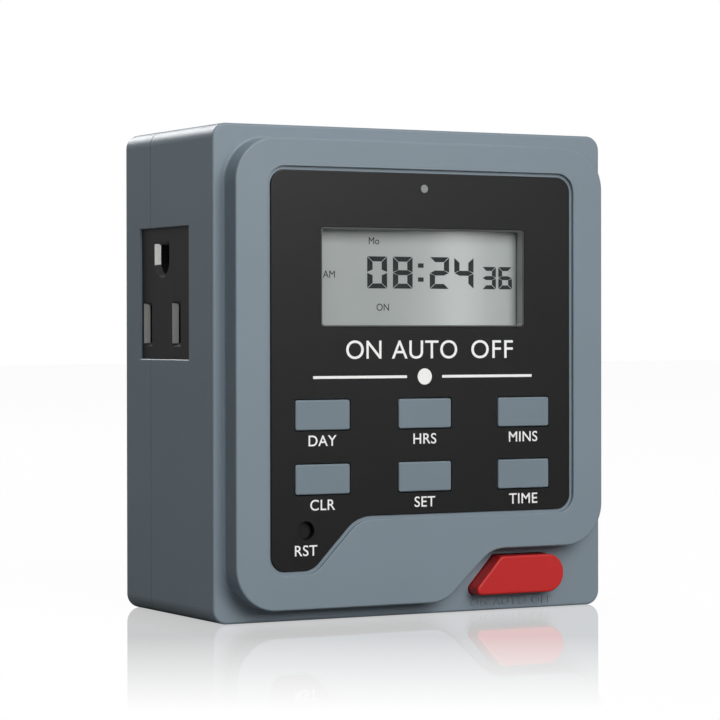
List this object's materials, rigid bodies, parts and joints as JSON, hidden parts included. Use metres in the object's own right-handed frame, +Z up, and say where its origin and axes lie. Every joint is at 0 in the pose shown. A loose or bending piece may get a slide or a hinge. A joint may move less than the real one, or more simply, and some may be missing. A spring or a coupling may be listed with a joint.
{
  "type": "plug-in timer",
  "caption": "Digital plug-in timer in a blue-grey box with a raised bezel, grey display, function keys, a red mode key, a grounded outlet in each side and a grounded plug behind.",
  "frame": {"origin": "middle of the flat base, half way through the depth of the housing", "axes": "+X to the right seen from the front, +Y from the display towards the wall socket, +Z up"},
  "size_m": [0.0826, 0.0633, 0.0902],
  "materials": {
    "housing": "fine satin texture, blue-grey",
    "panel": "black satin",
    "panel_print": "white screen-printed ink",
    "display_ink": "dark display segments",
    "display_frame": "light grey satin",
    "window": "clear",
    "lcd": "grey display glass with dark segments",
    "contact_rubber": "matt",
    "indicator": "smoky clear plastic",
    "key_grey": "satin",
    "red_key": "satin red",
    "reset_black": "satin black",
    "plunger": "matt black",
    "chip_black": "matt black",
    "board": "green solder mask",
    "steel": "zinc plated",
    "outlet_black": "black satin",
    "brass": "bare stamped brass",
    "plated_brass": "nickel plated",
    "relay_case": "blue case",
    "film_yellow": "yellow case",
    "can_sleeve": "black shrink sleeve",
    "varistor_coat": "blue epoxy coat",
    "resistor_coat": "beige coat with bands",
    "ribbon_grey": "grey PVC",
    "nylon_white": "natural nylon",
    "wire_black": "black PVC",
    "wire_red": "red PVC",
    "wire_white": "white PVC"
  },
  "bodies": {
    "timer": {"clock_crystal": "steel", "control_board": "board", "control_board_screws": "steel", "display_frame": "display_frame", "display_window": "window", "dropper_resistors": "resistor_coat", "face_panel": "panel", "film_capacitor": "film_yellow", "front_housing": "housing", "ground_bar": "plated_brass", "ground_pin": "brass", "ground_strap": "plated_brass", "housing_screws": "steel", "indicator_lamp": "chip_black", "indicator_lens": "indicator", "key_switches": "chip_black", "lcd_cell": "lcd", "left_outlet": "outlet_black", "left_outlet_cover": "outlet_black", "line_bar": "plated_brass", "line_blade": "brass", "line_feed_wire": "wire_black", "memory_battery": "steel", "microcontroller": "chip_black", "neutral_bar": "plated_brass", "neutral_blade": "plated_brass", "neutral_strap": "plated_brass", "neutral_wire": "wire_white", "plug_base": "outlet_black", "power_board": "board", "power_board_screws": "steel", "rear_housing": "housing", "rectifier_diodes": "chip_black", "relay": "relay_case", "ribbon_cable": "ribbon_grey", "ribbon_connectors": "nylon_white", "right_outlet": "outlet_black", "right_outlet_cover": "outlet_black", "smoothing_capacitor": "can_sleeve", "switched_line_wire": "wire_red", "varistor": "varistor_coat", "zebra_strips": "contact_rubber"},
    "day_key": {"day_key": "key_grey", "day_key_plunger": "plunger"},
    "hour_key": {"hour_key": "key_grey", "hour_key_plunger": "plunger"},
    "minute_key": {"minute_key": "key_grey", "minute_key_plunger": "plunger"},
    "clear_key": {"clear_key": "key_grey", "clear_key_plunger": "plunger"},
    "set_key": {"set_key": "key_grey", "set_key_plunger": "plunger"},
    "time_key": {"time_key": "key_grey", "time_key_plunger": "plunger"},
    "reset_key": {"reset_key": "reset_black", "reset_key_plunger": "plunger"},
    "mode_key": {"mode_key": "red_key", "mode_key_plunger": "plunger"}
  },
  "joints": [
    {"name": "day_key_press", "type": "slide", "parent": "timer", "child": "day_key", "axis": [0, 1, 0], "range_m": [0, 0.0005], "stiffness_N_per_m": 2500, "springref_m": -0.0002},
    {"name": "hour_key_press", "type": "slide", "parent": "timer", "child": "hour_key", "axis": [0, 1, 0], "range_m": [0, 0.0005], "stiffness_N_per_m": 2500, "springref_m": -0.0002},
    {"name": "minute_key_press", "type": "slide", "parent": "timer", "child": "minute_key", "axis": [0, 1, 0], "range_m": [0, 0.0005], "stiffness_N_per_m": 2500, "springref_m": -0.0002},
    {"name": "clear_key_press", "type": "slide", "parent": "timer", "child": "clear_key", "axis": [0, 1, 0], "range_m": [0, 0.0005], "stiffness_N_per_m": 2500, "springref_m": -0.0002},
    {"name": "set_key_press", "type": "slide", "parent": "timer", "child": "set_key", "axis": [0, 1, 0], "range_m": [0, 0.0005], "stiffness_N_per_m": 2500, "springref_m": -0.0002},
    {"name": "time_key_press", "type": "slide", "parent": "timer", "child": "time_key", "axis": [0, 1, 0], "range_m": [0, 0.0005], "stiffness_N_per_m": 2500, "springref_m": -0.0002},
    {"name": "reset_key_press", "type": "slide", "parent": "timer", "child": "reset_key", "axis": [0, 1, 0], "range_m": [0, 0.0005], "stiffness_N_per_m": 2500, "springref_m": -0.0002},
    {"name": "mode_key_press", "type": "slide", "parent": "timer", "child": "mode_key", "axis": [0, 1, 0], "range_m": [0, 0.0008], "stiffness_N_per_m": 2000, "springref_m": -0.0002}
  ]
}
